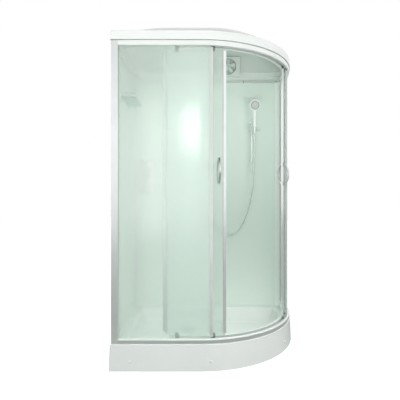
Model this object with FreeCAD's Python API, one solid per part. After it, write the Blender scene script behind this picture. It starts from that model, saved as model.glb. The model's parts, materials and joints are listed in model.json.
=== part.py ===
import FreeCAD, Part
import math
import os

# Asymmetric quadrant shower cabin, in mm. Origin at the centre of the footprint on the floor.
# The front faces -Y, the straight walls are at the back (+Y) and on the left (-X).
# An arc angle is measured about the arc's axis, from the front (0) towards the right side (90).

# Overall sizes
width = 1200.0
depth = 800.0
height = 2150.0
right_straight = 135.0

# Shared clearances
overrun = 20.0
fit_gap = 0.3
running_gap = 0.05
seat_gap = 0.1
level_gap = 0.001

# Tray and apron
tray_h = 155.0
deck_t = 8.0
deck_round = 3.0
apron_flare = 5.0
apron_t = 4.0
floor_gap = 1.0
foot_corner_r = 4.0
basin_left = 85.0
basin_front = 95.0
basin_back = 70.0
basin_corner_r = 50.0
basin_draft = 25.0
basin_floor_z = 52.0
basin_t = 6.0
basin_bottom_r = 16.0
basin_rim_r = 6.0
cap_r = 8.0
cap_t = 2.5
cap_round = 1.2
cap_peg_r = 3.0
cap_z = 57.0
cap_left_inset = 125.0
cap_arc_angles = (5.3, 57.0)

# Drain
drain_from_left = 450.0
drain_from_back = 270.0
drain_hole_r = 45.0
drain_flange_r = 56.0
drain_flange_t = 2.0
drain_cover_r = 54.0
drain_cover_t = 5.0
drain_cover_peg_r = 6.0
trap_wall = 3.0
trap_bottom_z = 2.0
waste_r = 20.0
waste_neck_r = 18.8
waste_bore_r = 16.5
waste_spigot_l = 60.0
waste_rise = 1.5
waste_end_inset = 12.0

# Under frame and feet
frame_inset = 42.0
frame_w = 20.0
frame_h = 20.0
frame_wall = 3.0
frame_back_inset = 16.0
stud_r = 6.0
nut_flats = 24.0
nut_h = 10.0
pad_r = 22.0
pad_h = 12.0
pad_socket_depth = 6.0
foot_arc_angles = (0.0, 45.0, 88.0)

# Walls, posts and channels
wall_t = 5.0
wall_inset = 20.0
post_face = 40.0
post_depth = 43.0
post_wall = 2.0
rail_inset = 12.0
corner_post_size = 34.0
corner_post_wall = 2.5
channel_w = 20.0
channel_h = 24.0
channel_slot_depth = 14.0
right_post_w = 70.0
right_post_t = 14.0
right_post_lip_t = 3.0
right_post_lip_h = 16.0
screw_head_r = 4.5
screw_head_t = 2.5
screw_shank_r = 2.0
screw_pitch = 240.0
screw_end_inset = 60.0

# Rails and door track
rail_lift = 3.0
rail_h = 24.0
rail_web_t = 4.0
rail_face_t = 3.0
rail_depth = 45.0
rail_sole_w = 30.0
pocket_wall = 3.0
glass_t = 5.0
fixed_glass_inset = 24.0
left_glass_angle = 6.0
right_glass_angle = 70.0
fixed_strip_w = 18.5
fixed_strip_wall = 3.0
fixed_strip_depth = 12.0
fixed_strip_end_gap = 2.0
track_start = -18.0
track_end = 94.0
track_wall_t = 3.0
track_inset = 20.0
track_w = 39.0
lip_w = 13.0
lip_t = 3.7
lip_drop = 8.0

# Doors
door_inset = 37.0
door_span = 35.0
left_lead = 14.0
right_lead = 62.0
door_bottom_gap = 35.0
door_top_gap = 35.0
strip_bottom_gap = 15.0
strip_top_gap = 11.0
magnet_w = 17.0
seal_w = 25.0
strip_wall = 3.5
strip_bite = 11.0
lead_roller_back = 7.0
trail_roller_back = 8.0
handle_back = 4.0

# Rollers and brackets
roller_r = 11.0
roller_w = 7.0
axle_r = 3.0
axle_head_r = 4.5
axle_head_t = 1.0
bracket_w = 23.0
bracket_t = 3.0
bracket_end = 9.0
bracket_reach = 34.0
clamp_r = 3.0
clamp_knob_r = 6.5
clamp_knob_t = 3.5
clamp_from_edge = 9.0

# Handles
handle_z = 1171.0
handle_h = 146.0
handle_out = 33.0
handle_bar_r = 6.0
handle_foot_r = 8.5
handle_foot_t = 7.0
handle_stud_r = 4.0

# Roof
roof_rise = 160.0
skirt_h = 54.5
roof_gap = 5.5
roof_inset = 9.0
skirt_lip_h = 14.0
skirt_lip_step = 2.0
skirt_round = 5.0
bearing_inset = 20.0
band_inset = 30.0
ceiling_lift = 15.5
recess_corner_r = 100.0
roof_t = 4.0
ledge_w = 30.0
dome_corner_r = 85.0
dome_from_left = 700.0
dome_from_back = 300.0
dome_shares = (1.0, 0.84, 0.66, 0.45, 0.22)

# Vent fan
fan_from_right = 452.0
fan_w = 176.0
fan_from_back = 100.0
fan_foot_drop = 17.0
fan_face_h = 142.0
fan_tilt = 17.2
fan_bezel_r = 68.0
fan_bezel_t = 4.0
fan_bore_r = 58.0
fan_bore_depth = 34.0
fan_rotor_r = 54.0
fan_hub_r = 18.0
fan_hub_t = 12.0
fan_blade_t = 2.5
fan_blade_chord = 26.0
fan_blade_pitch = 28.0
fan_blades = 5
fan_motor_r = 16.0
fan_motor_t = 18.0
fan_shaft_r = 4.0
fan_back_t = 8.0
fan_heel_h = 20.0
fan_top_share = 0.2

# Riser rail, slider and hand shower
riser_from_right = 266.0
riser_out = 50.0
riser_r = 9.0
riser_top_drop = 323.0
riser_l = 402.0
riser_low_bracket_up = 95.0
riser_high_bracket_drop = 12.0
riser_bracket_h = 16.0
riser_bracket_r = 13.0
riser_foot_r = 17.0
riser_foot_t = 5.0
slider_drop = 86.0
slider_r = 16.0
slider_h = 44.0
pivot_out = 27.0
pivot_r = 4.0
pivot_barrel_r = 8.0
ear_t = 5.0
ear_gap = 31.0
ear_h = 18.0
knob_r = 9.0
knob_w = 22.0
hand_side = 12.0
hand_out = 27.0
cup_r = 17.0
cup_h = 32.0
nut_top_r = 14.0
nut_r = 11.5
nut_flange_t = 6.0
nut_drop = 10.0
grip_r = 11.0
grip_top_r = 13.0
grip_up = 151.0
head_up = 33.0
head_r = 42.0
head_t = 20.0
head_round = 6.0
head_tilt = 22.0
head_forward = 20.0
neck_r = 8.0
spray_r = 31.0
spray_t = 3.0
hose_r = 6.0
hose_run_share = 0.45

# Wall elbow, mixer and shelf
elbow_flange_r = 26.0
elbow_flange_t = 6.0
elbow_r = 11.0
elbow_nipple_r = 9.0
elbow_drop = 50.0
pipe_r = 6.0
mixer_from_left = 115.0
lever_z = 1230.0
diverter_z = 1096.0
mixer_plate_w = 110.0
mixer_plate_margin = 60.0
mixer_plate_t = 8.0
mixer_plate_r = 30.0
mixer_boss_r = 22.0
mixer_boss_t = 14.0
spindle_r = 6.0
spindle_l = 18.0
lever_hub_r = 24.0
lever_hub_t = 22.0
lever_w = 14.0
lever_t = 9.0
lever_l = 92.0
lever_round_share = 1 / 3
knob_hub_r = 20.0
knob_hub_t = 24.0
knob_fin_w = 9.0
knob_fin_t = 8.0
inlet_r = 10.5
inlet_neck_r = 9.0
inlet_neck_gap = 2.0
inlet_spacing = 60.0
inlet_end_inset = 2.0
inlet_z_drop = 67.0
shelf_from_back = 550.0
shelf_l = 250.0
shelf_w = 95.0
shelf_t = 6.0
shelf_drop = 275.0
shelf_corner_r = 18.0
shelf_rod_r = 4.0
shelf_leg_r = 3.0
shelf_rod_h = 30.0
shelf_rod_inset = 10.0
shelf_plate_h = 62.0
shelf_plate_t = 4.0
shelf_plate_w = 18.0
shelf_lug_l = 40.0
shelf_lug_t = 4.0

# Route of the hose from its start below the holder to the wall elbow, as steps from that start
hose_start_drop = 85.0
hose_steps = (
    (0.0, 0.0, 0.0), (0.0, 0.0, -94.0), (-3.0, 5.0, -202.0), (-9.0, 10.0, -306.0),
    (-19.0, 16.0, -401.0), (-35.0, 23.0, -486.0), (-58.0, 30.0, -566.0), (-89.0, 37.0, -641.0),
    (-133.0, 44.0, -698.0), (-196.0, 51.0, -730.0), (-260.0, 57.0, -708.0), (-301.0, 62.0, -646.0),
    (-320.0, 66.0, -556.0), (-330.0, 69.0, -446.0), (-336.0, 72.0, -336.0), (-336.0, 72.0, -236.0))

# Places that follow from the sizes
V = FreeCAD.Vector
UP = V(0, 0, 1)
left_x = -width / 2
right_x = width / 2
front_y = -depth / 2
back_y = depth / 2
arc_r = depth - right_straight
arc_x = right_x - arc_r
arc_y = front_y + arc_r
wall_back_y = back_y - wall_inset
wall_left_x = left_x + wall_inset
deck_bottom_z = tray_h - deck_t
drain_x = left_x + drain_from_left
drain_y = back_y - drain_from_back
skirt_top_z = height - roof_rise
skirt_bottom_z = skirt_top_z - skirt_h
ceiling_z = skirt_bottom_z + ceiling_lift
top_rail_top_z = skirt_bottom_z - roof_gap
rail_bottom_z = tray_h + rail_lift
dome_x = left_x + dome_from_left
dome_y = back_y - dome_from_back
fan_x = right_x - fan_from_right
fan_foot_y = back_y - fan_from_back
post_x = left_x + rail_inset + seat_gap
post_right_x = post_x + post_face
post_front_y = front_y + rail_inset
post_back_y = post_front_y + post_depth
corner_x = wall_left_x - wall_t - seat_gap
corner_y = wall_back_y + wall_t + seat_gap
corner_right_x = corner_x + corner_post_size
corner_front_y = corner_y - corner_post_size
right_post_x = right_x - rail_inset
right_post_front_y = wall_back_y - right_post_t
wall_bottom_z = tray_h
wall_top_z = top_rail_top_z - channel_h + channel_slot_depth
glass_bottom_z = rail_bottom_z + rail_web_t
glass_top_z = top_rail_top_z - rail_web_t
rail_top_z = rail_bottom_z + rail_h
top_rail_bottom_z = top_rail_top_z - rail_h
door_r = arc_r - door_inset
door_bottom_z = rail_bottom_z + door_bottom_gap
door_top_z = top_rail_top_z - door_top_gap
strip_bottom_z = door_bottom_z + strip_bottom_gap
strip_top_z = door_top_z - strip_top_gap
door_inner_r = door_r - glass_t
strip_out_r = door_r + strip_wall
strip_in_r = door_inner_r - strip_wall
track_outer_r = arc_r - track_inset
track_inner_r = track_outer_r - track_w
lip_outer_r = track_inner_r + lip_w
roller_in_r = track_inner_r + track_wall_t + axle_head_t + 2 * running_gap + fit_gap
bracket_out_r = door_inner_r - seat_gap * 2
bracket_in_r = bracket_out_r - bracket_t
top_axle_z = top_rail_bottom_z - lip_drop + lip_t + fit_gap + roller_r
bottom_axle_z = rail_top_z + lip_drop - lip_t - fit_gap - roller_r
riser_x = right_x - riser_from_right
riser_y = wall_back_y - riser_out
riser_top_z = top_rail_top_z - riser_top_drop
riser_bottom_z = riser_top_z - riser_l
bracket_zs = (riser_bottom_z + riser_low_bracket_up, riser_top_z - riser_high_bracket_drop)
slider_z = riser_top_z - slider_drop
pivot_y = riser_y - pivot_out
hand_x = riser_x + hand_side
hand_y = pivot_y - hand_out
grip_top_z = slider_z + grip_up
head_z = grip_top_z + head_up
hose_start = V(hand_x, hand_y, slider_z - hose_start_drop)
hose_points = [hose_start + V(*step) for step in hose_steps]
elbow_x, elbow_y = hose_points[-1].x, hose_points[-1].y
elbow_z = hose_points[-1].z + elbow_drop
mixer_x = left_x + mixer_from_left
shelf_front_y = back_y - shelf_from_back
shelf_z = top_rail_top_z - shelf_drop


def box(x0, x1, y0, y1, z0, z1):
    return Part.makeBox(x1 - x0, y1 - y0, z1 - z0, V(x0, y0, z0))


def rod(start, end, r):
    """A round bar from one point to another."""
    start, end = V(*start), V(*end)
    return Part.makeCylinder(r, (end - start).Length, start, end - start)


def fuse(first, *others):
    return first.multiFuse(list(others)).removeSplitter()


def polygon(points):
    return Part.Face(Part.makePolygon([V(*p) for p in points] + [V(*points[0])]))


def arc(a, b, c):
    return Part.Arc(a, b, c).toShape()


def on_arc(r, angle, z=0.0):
    """The point at a radius and angle about the arc's axis."""
    t = math.radians(angle)
    return V(arc_x + r * math.sin(t), arc_y - r * math.cos(t), z)


def outward(angle):
    t = math.radians(angle)
    return V(math.sin(t), -math.cos(t), 0)


def sector(r0, r1, a0, a1, z0, z1):
    """A curved slab between two radii, two angles and two heights."""
    mid = (a0 + a1) / 2
    edges = [arc(on_arc(r0, a0, z0), on_arc(r0, mid, z0), on_arc(r0, a1, z0)),
             Part.makeLine(on_arc(r0, a1, z0), on_arc(r1, a1, z0)),
             arc(on_arc(r1, a1, z0), on_arc(r1, mid, z0), on_arc(r1, a0, z0)),
             Part.makeLine(on_arc(r1, a0, z0), on_arc(r0, a0, z0))]
    return Part.Face(Part.Wire(edges)).extrude(UP * (z1 - z0))


def plan_face(inset, z, left=None, back=None, corner=0.0):
    """The quadrant footprint, drawn in by inset on the left, front and right."""
    left = left_x + inset if left is None else left
    back = back_y if back is None else back
    front, right, r = front_y + inset, right_x - inset, arc_r - inset
    points = [V(left, back, z), V(left, front + corner, z), V(left + corner, front, z), V(arc_x, front, z)]
    edges = [Part.makeLine(points[0], points[1])]
    if corner:
        c = V(left + corner, front + corner, z)
        edges.append(arc(points[1], c - V(corner, corner, 0) * math.sqrt(0.5), points[2]))
    edges += [Part.makeLine(points[2], points[3]),
              arc(points[3], on_arc(r, 45, z), V(right, arc_y, z)),
              Part.makeLine(V(right, arc_y, z), V(right, back, z)),
              Part.makeLine(V(right, back, z), points[0])]
    return Part.Face(Part.Wire(edges))


def plan_slab(inset, z0, z1, **ends):
    return plan_face(inset, z0, **ends).extrude(UP * (z1 - z0))


def front_band(inset, depth_in, z0, z1):
    """A band that follows the front, the arc and the right side, between the two posts."""
    far_left, far_back = left_x - overrun, back_y + overrun
    outer = plan_slab(inset, z0, z1, left=far_left, back=far_back)
    inner = plan_slab(inset + depth_in, z0, z1, left=far_left - overrun, back=far_back + overrun)
    clip = box(post_right_x, right_x, front_y, right_post_front_y, z0, z1)
    return outer.cut(inner).common(clip)


def rounded_plan(left, right, front, back, arc_rad, corner, z):
    """A closed wire of four lines and four arcs, the front right one being the quadrant's own."""
    k = math.sqrt(0.5)
    spots = [(left, back, 1, -1, corner), (left, front, 1, 1, corner),
             (right, front, -1, 1, arc_rad), (right, back, -1, -1, corner)]
    ends = []
    for x, y, sx, sy, r in spots:
        c = V(x + sx * r, y + sy * r, z)
        along_x, along_y = c - V(0, sy * r, 0), c - V(sx * r, 0, 0)
        mid = c - V(sx * r * k, sy * r * k, 0)
        first, last = (along_x, along_y) if sx * sy < 0 else (along_y, along_x)
        ends.append((first, mid, last))
    edges = []
    for i, (first, mid, last) in enumerate(ends):
        edges.append(arc(first, mid, last))
        edges.append(Part.makeLine(last, ends[(i + 1) % len(ends)][0]))
    return Part.Wire(edges)


def basin_wire(inset, z):
    return rounded_plan(left_x + basin_left + inset, right_x - basin_front - inset,
                        front_y + basin_front + inset, back_y - basin_back - inset,
                        arc_r - basin_front - inset, basin_corner_r - inset, z)


def edges_at(shape, z):
    return [e for e in shape.Edges if all(abs(v.Z - z) < level_gap for v in e.Vertexes)]


# Tray, apron and what is under them

def make_tray():
    deck = plan_slab(apron_flare, deck_bottom_z, tray_h, corner=foot_corner_r)
    outline = edges_at(deck, tray_h)
    deck = deck.makeFillet(deck_round, outline)
    low = basin_floor_z - basin_t
    outer = Part.makeLoft([basin_wire(-basin_t, tray_h - deck_round),
                           basin_wire(basin_draft - basin_t, low)], True, True)
    inner = Part.makeLoft([basin_wire(0, tray_h), basin_wire(basin_draft, basin_floor_z)], True, True)
    inner = inner.makeFillet(basin_bottom_r, edges_at(inner, basin_floor_z))
    tray = fuse(deck, outer).cut(inner)
    hole = rod((drain_x, drain_y, low - overrun), (drain_x, drain_y, tray_h), drain_hole_r)
    tray = tray.cut(hole)
    reach = basin_wire(0, tray_h).BoundBox
    rim = [e for e in edges_at(tray, tray_h)
           if reach.XMin - seat_gap < e.BoundBox.XMin and e.BoundBox.XMax < reach.XMax + seat_gap
           and reach.YMin - seat_gap < e.BoundBox.YMin and e.BoundBox.YMax < reach.YMax + seat_gap]
    return tray.makeFillet(basin_rim_r, rim)


def cap_places():
    """Where each screw cap sits on the sloping apron, and the way it faces."""
    slope = apron_flare / (deck_bottom_z - floor_gap)
    inset = slope * (cap_z - floor_gap)
    tilt = V(0, 0, slope)
    places = [(V(left_x + cap_left_inset, front_y + inset, cap_z), V(0, -1, 0) + tilt)]
    for angle in cap_arc_angles:
        places.append((on_arc(arc_r - inset, angle, cap_z), outward(angle) + tilt))
    return [(p, n.normalize()) for p, n in places]


def make_apron():
    def flared(inset, z0, z1, back):
        foot = plan_face(inset, z0, back=back, corner=foot_corner_r).OuterWire
        top = plan_face(inset + apron_flare, z1, back=back, corner=foot_corner_r).OuterWire
        return Part.makeLoft([foot, top], True, True)
    apron = flared(0.0, floor_gap, deck_bottom_z, back_y)
    apron = apron.cut(flared(apron_t, floor_gap, deck_bottom_z, back_y + overrun))
    for place, normal in cap_places():
        apron = apron.cut(rod(place - normal * overrun, place + normal * overrun, cap_peg_r + fit_gap))
    return apron


def make_screw_caps():
    caps = []
    for place, normal in cap_places():
        seat = place + normal * seat_gap
        disc = Part.makeCylinder(cap_r, cap_t, seat, normal)
        rim = [e for e in disc.Edges if e.Closed and (e.CenterOfMass - seat).dot(normal) > cap_t / 2]
        disc = disc.makeFillet(cap_round, rim)
        caps.append(fuse(disc, Part.makeCylinder(cap_peg_r, apron_t, seat, -normal)))
    return Part.makeCompound(caps)


def make_under_frame():
    top, bottom = deck_bottom_z, deck_bottom_z - frame_h

    def ring(inset, thick, z0, z1):
        outer = plan_slab(inset, z0, z1, back=back_y - frame_back_inset - (inset - frame_inset))
        gone = inset + thick
        inner = plan_slab(gone, z0, z1, back=back_y - frame_back_inset - (gone - frame_inset))
        return outer.cut(inner)
    return ring(frame_inset, frame_w, bottom, top).cut(
        ring(frame_inset + frame_wall, frame_w - 2 * frame_wall, bottom, top - frame_wall))


def foot_places():
    mid = frame_inset + frame_w / 2
    back = back_y - frame_back_inset - frame_w / 2
    places = [on_arc(arc_r - mid, a) for a in foot_arc_angles]
    for x in (left_x + mid, arc_x, right_x - mid):
        places.append(V(x, back, 0))
    places.append(V(left_x + mid, front_y + mid, 0))
    return places


def make_feet():
    studs, nuts, pads = [], [], []
    frame_z = deck_bottom_z - frame_h
    stud_bottom = pad_h - pad_socket_depth
    for p in foot_places():
        studs.append(Part.makeCylinder(stud_r, deck_bottom_z - frame_wall - stud_bottom,
                                       p + UP * stud_bottom))
        corner = nut_flats / math.sqrt(3)
        turns = [math.radians(60 * i) for i in range(6)]
        hexagon = polygon([(p.x + corner * math.cos(t), p.y + corner * math.sin(t), frame_z - nut_h)
                           for t in turns])
        hole = Part.makeCylinder(stud_r + fit_gap, nut_h, p + UP * (frame_z - nut_h))
        nuts.append(hexagon.extrude(UP * nut_h).cut(hole))
        socket = Part.makeCylinder(stud_r + fit_gap, pad_socket_depth, p + UP * stud_bottom)
        pads.append(Part.makeCylinder(pad_r, pad_h, p).cut(socket))
    return [Part.makeCompound(group) for group in (studs, nuts, pads)]


def make_drain_trap():
    floor = basin_floor_z
    neck_r = drain_hole_r - fit_gap
    axis_z = trap_bottom_z + waste_r + waste_rise
    base = (drain_x, drain_y, trap_bottom_z)
    body = fuse(rod(base, (drain_x, drain_y, floor), neck_r),
                rod((drain_x, drain_y, floor), (drain_x, drain_y, floor + drain_flange_t), drain_flange_r))
    outlet_end = (drain_x, back_y - waste_end_inset, axis_z)
    spigot_start = (drain_x, back_y - waste_end_inset - waste_spigot_l, axis_z)
    pipe = fuse(rod((drain_x, drain_y, axis_z), outlet_end, waste_neck_r),
                rod(spigot_start, outlet_end, waste_r))
    hollow = rod((drain_x, drain_y, trap_bottom_z + trap_wall),
                 (drain_x, drain_y, floor + drain_flange_t), neck_r - trap_wall)
    bore = rod((drain_x, drain_y, axis_z), outlet_end, waste_bore_r)
    return fuse(body, pipe).cut(hollow).cut(bore)


def make_drain_cover():
    z = basin_floor_z + drain_flange_t
    cover = rod((drain_x, drain_y, z), (drain_x, drain_y, z + drain_cover_t), drain_cover_r)
    cover = cover.makeFillet(drain_cover_t / 2, edges_at(cover, z + drain_cover_t))
    peg = rod((drain_x, drain_y, trap_bottom_z + trap_wall), (drain_x, drain_y, z), drain_cover_peg_r)
    return fuse(cover, peg)


# Walls, posts and channels

def make_back_wall():
    wall = box(corner_right_x, right_post_x, wall_back_y, wall_back_y + wall_t, wall_bottom_z, wall_top_z)
    for x, z, r in wall_holes():
        wall = wall.cut(rod((x, wall_back_y - overrun, z), (x, back_y, z), r + fit_gap))
    return wall


def wall_holes():
    inlets = [(x, lever_z - inlet_z_drop, inlet_r) for x in inlet_xs()]
    return inlets + [(elbow_x, elbow_z, elbow_r)]


def inlet_thread_y():
    """The inlet's neck passes the wall, and its thread starts clear behind it."""
    return wall_back_y + wall_t + inlet_neck_gap


def inlet_xs():
    return (mixer_x - inlet_spacing / 2, mixer_x + inlet_spacing / 2)


def make_left_wall():
    return box(wall_left_x - wall_t, wall_left_x, post_back_y, corner_front_y, wall_bottom_z, wall_top_z)


def make_corner_post():
    post = box(corner_x, corner_right_x, corner_front_y, corner_y, tray_h, top_rail_top_z)
    t = corner_post_wall
    return post.cut(box(corner_x + t, corner_right_x - t, corner_front_y + t, corner_y - t,
                        tray_h - overrun, top_rail_top_z + overrun))


def make_left_post():
    post = box(post_x, post_right_x, post_front_y, post_back_y, tray_h, top_rail_top_z)
    t = post_wall
    hollow = box(post_x + t, post_right_x - t, post_front_y + t, post_back_y - t,
                 tray_h - overrun, top_rail_top_z + overrun)
    return post.cut(hollow)


def make_right_post():
    """A flat profile on the back wall, with two lips that hold the end of the fixed glass."""
    front = right_post_front_y
    post = box(right_post_x - right_post_w, right_post_x, front, wall_back_y,
               tray_h, top_rail_top_z - channel_h)
    glass_out = right_x - fixed_glass_inset + fit_gap
    glass_in = glass_out - glass_t - 2 * fit_gap
    for x in (glass_out, glass_in - right_post_lip_t):
        lip = box(x, x + right_post_lip_t, front - right_post_lip_h, front, rail_top_z + lip_drop + fit_gap,
                  top_rail_bottom_z - lip_drop - fit_gap)
        post = fuse(post, lip)
    return post


def channel_places():
    """Each wall channel: its two ends along the wall, and the wall's inner and outer faces."""
    return (("back", corner_right_x, right_post_x), ("left", post_back_y, corner_front_y))


def make_top_channels():
    z0, z1 = top_rail_top_z - channel_h, top_rail_top_z
    lap = (channel_w - wall_t) / 2
    slot_z = z0 + channel_slot_depth
    back = box(corner_right_x, right_post_x, wall_back_y - lap, wall_back_y + wall_t + lap, z0, z1)
    back = back.cut(box(corner_right_x, right_post_x, wall_back_y - fit_gap, wall_back_y + wall_t + fit_gap,
                        z0, slot_z))
    left = box(wall_left_x - wall_t - lap, wall_left_x + lap, post_back_y, corner_front_y, z0, z1)
    left = left.cut(box(wall_left_x - wall_t - fit_gap, wall_left_x + fit_gap, post_back_y, corner_front_y,
                        z0, slot_z))
    for head, inner in screw_places():
        hole = rod(head, inner, screw_shank_r + fit_gap)
        back, left = back.cut(hole), left.cut(hole)
    return Part.makeCompound([back, left])


def screw_places():
    """Head seat and shank end of each screw through the inner sides of the wall channels."""
    lap = (channel_w - wall_t) / 2
    z = top_rail_top_z - channel_h + channel_slot_depth / 2
    places = []
    for name, start, end in channel_places():
        room = end - start - 2 * screw_end_inset
        count = max(2, round(room / screw_pitch) + 1)
        for i in range(count):
            s = start + screw_end_inset + room * i / (count - 1)
            if name == "back":
                places.append(((s, wall_back_y - lap, z), (s, wall_back_y, z)))
            else:
                places.append(((wall_left_x + lap, s, z), (wall_left_x, s, z)))
    return places


def make_panel_screws():
    screws = []
    for head, inner in screw_places():
        head, inner = V(*head), V(*inner)
        way = (head - inner).normalize()
        cap = Part.makeCylinder(screw_head_r, screw_head_t, head, way)
        screws.append(fuse(cap, Part.makeCylinder(screw_shank_r, (head - inner).Length, inner, way)))
    return Part.makeCompound(screws)


# Rails and fixed glass

def make_rail(closed_z, way):
    """A rail with its web at closed_z, opening towards the doors: way is +1 up or -1 down."""
    def span(near, far):
        a, b = closed_z + way * near, closed_z + way * far
        return min(a, b), max(a, b)
    pocket = fixed_glass_inset - fit_gap - pocket_wall
    inner_pocket = fixed_glass_inset + glass_t + fit_gap
    lip_far = rail_h + lip_drop
    parts = [front_band(rail_inset, rail_depth, *span(0, rail_web_t)),
             sector(track_inner_r, track_outer_r, track_start, track_end, *span(0, rail_web_t)),
             front_band(rail_inset, rail_face_t, *span(0, rail_h)),
             front_band(pocket, pocket_wall, *span(0, rail_h)),
             front_band(inner_pocket, pocket_wall, *span(0, rail_h)),
             sector(track_inner_r, track_inner_r + track_wall_t, track_start, track_end, *span(0, lip_far)),
             sector(track_inner_r, lip_outer_r, track_start, track_end, *span(lip_far - lip_t, lip_far))]
    return parts


def make_top_rail():
    return fuse(*make_rail(top_rail_top_z, -1))


def make_bottom_rail():
    """The lower rail stands on the deck on a narrow sole."""
    sole = front_band(rail_inset + rail_face_t, rail_sole_w, tray_h, rail_bottom_z)
    return fuse(*make_rail(rail_bottom_z, 1), sole)


def glass_band(z0, z1):
    """The whole fixed pane's line, from inside the left post to the right post."""
    far_left, far_back = left_x - overrun, back_y + overrun
    outer = plan_slab(fixed_glass_inset, z0, z1, left=far_left, back=far_back)
    inner = plan_slab(fixed_glass_inset + glass_t, z0, z1, left=far_left - overrun, back=far_back + overrun)
    return outer.cut(inner)


def beyond(angle, side, z0, z1):
    """The half of space on one side of a radial plane: side +1 is the larger angles."""
    reach = 2 * width
    a = on_arc(0.0, angle, z0)
    out = outward(angle) * reach
    along = V(-out.y, out.x, 0) * side
    return polygon([a, a + out, a + out + along, a + along]).extrude(UP * (z1 - z0))


def make_fixed_glass(side):
    band = glass_band(glass_bottom_z, glass_top_z)
    if side < 0:
        keep = box(post_right_x, on_arc(arc_r, left_glass_angle).x, front_y, arc_y,
                   glass_bottom_z, glass_top_z)
        return band.common(keep).cut(beyond(left_glass_angle, 1, glass_bottom_z, glass_top_z))
    keep = box(arc_x, right_x, front_y, right_post_front_y, glass_bottom_z, glass_top_z)
    return band.common(keep).common(beyond(right_glass_angle, 1, glass_bottom_z, glass_top_z))


def make_fixed_strips():
    """Edge strips in U section over the free edge of each fixed pane."""
    z0 = rail_top_z + lip_drop + fixed_strip_end_gap
    z1 = top_rail_bottom_z - lip_drop - fixed_strip_end_gap
    r1 = arc_r - fixed_glass_inset + fixed_strip_wall
    r0 = arc_r - fixed_glass_inset - glass_t - fixed_strip_wall
    wide = math.degrees(fixed_strip_w / arc_r)
    bite = math.degrees(fixed_strip_depth / arc_r)
    strips = []
    for angle, side in ((left_glass_angle, 1), (right_glass_angle, -1)):
        ends = sorted((angle - side * bite, angle + side * (wide - bite)))
        cut = sorted((angle - side * wide, angle))
        strip = sector(r0, r1, *ends, z0, z1)
        slot = sector(r0 + fixed_strip_wall - fit_gap, r1 - fixed_strip_wall + fit_gap, *cut, z0, z1)
        strips.append(strip.cut(slot))
    return Part.makeCompound(strips)


# Doors: side is +1 for the left door, which closes towards larger angles, and -1 for the right one

def handle_studs():
    return (handle_z - handle_h / 2, handle_z + handle_h / 2)


def roller_angles(lead, side):
    return (("lead", lead - side * lead_roller_back),
            ("trail", lead - side * (door_span - trail_roller_back)))


def clamp_heights():
    return (("top", door_top_z - clamp_from_edge), ("bottom", door_bottom_z + clamp_from_edge))


def radial_rod(r0, r1, angle, z, r):
    return Part.makeCylinder(r, r1 - r0, on_arc(r0, angle, z), outward(angle))


def make_door_glass(lead, side):
    bite = math.degrees(strip_bite / door_r)
    front = lead - side * (math.degrees(magnet_w / door_r) - bite)
    rear = lead - side * (door_span - math.degrees(seal_w / door_r) + bite)
    glass = sector(door_inner_r, door_r, min(front, rear), max(front, rear), door_bottom_z, door_top_z)
    drill = (door_inner_r - overrun, door_r + overrun)
    for z in handle_studs():
        glass = glass.cut(radial_rod(*drill, lead - side * handle_back, z, handle_stud_r + fit_gap))
    for _, angle in roller_angles(lead, side):
        for _, z in clamp_heights():
            glass = glass.cut(radial_rod(*drill, angle, z, clamp_r + fit_gap))
    return glass


def edge_strip(outer_angle, inner_angle, side):
    """A U section clipped over a vertical edge of the door glass, open towards the glass."""
    strip = sector(strip_in_r, strip_out_r, min(outer_angle, inner_angle), max(outer_angle, inner_angle),
                   strip_bottom_z, strip_top_z)
    bite = math.degrees(strip_bite / door_r)
    mouth = math.degrees(overrun / door_r)
    ends = sorted((inner_angle + side * bite, inner_angle - side * mouth))
    slot = sector(door_inner_r - fit_gap, door_r + fit_gap, *ends, strip_bottom_z, strip_top_z)
    return strip.cut(slot)


def make_magnet_strip(lead, side):
    return edge_strip(lead, lead - side * math.degrees(magnet_w / door_r), side)


def make_seal_strip(lead, side):
    tail = lead - side * door_span
    return edge_strip(tail, tail + side * math.degrees(seal_w / door_r), -side)


def bow(angle, foot_r, way):
    """A bow handle on one face of the glass: way is +1 outside and -1 inside."""
    start_r = foot_r + way * handle_foot_t
    sagitta = handle_out - handle_foot_t
    half = handle_h / 2
    bend_r = (half * half + sagitta * sagitta) / (2 * sagitta)
    out = outward(angle) * way
    centre = on_arc(start_r, angle, handle_z) + out * (sagitta - bend_r)
    sweep = math.degrees(math.asin(half / bend_r))
    axis = out.cross(UP)
    start = centre + (out * math.cos(math.radians(sweep)) - UP * math.sin(math.radians(sweep))) * bend_r
    tangent = axis.cross(start - centre)
    circle = Part.Face(Part.Wire(Part.makeCircle(handle_bar_r, start, tangent)))
    handle = circle.revolve(centre, axis, 2 * sweep)
    for z in handle_studs():
        foot = Part.makeCylinder(handle_foot_r, handle_foot_t, on_arc(foot_r, angle, z), out)
        knuckle = Part.makeSphere(handle_bar_r + seat_gap, on_arc(start_r, angle, z))
        handle = fuse(handle, knuckle, foot)
    return handle


def make_outer_handle(lead, side):
    return bow(lead - side * handle_back, door_r + seat_gap, 1)


def make_inner_handle(lead, side):
    angle = lead - side * handle_back
    foot_r = door_inner_r - seat_gap
    studs = [radial_rod(foot_r, door_r + seat_gap, angle, z, handle_stud_r) for z in handle_studs()]
    return fuse(bow(angle, foot_r, -1), *studs)


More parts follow.
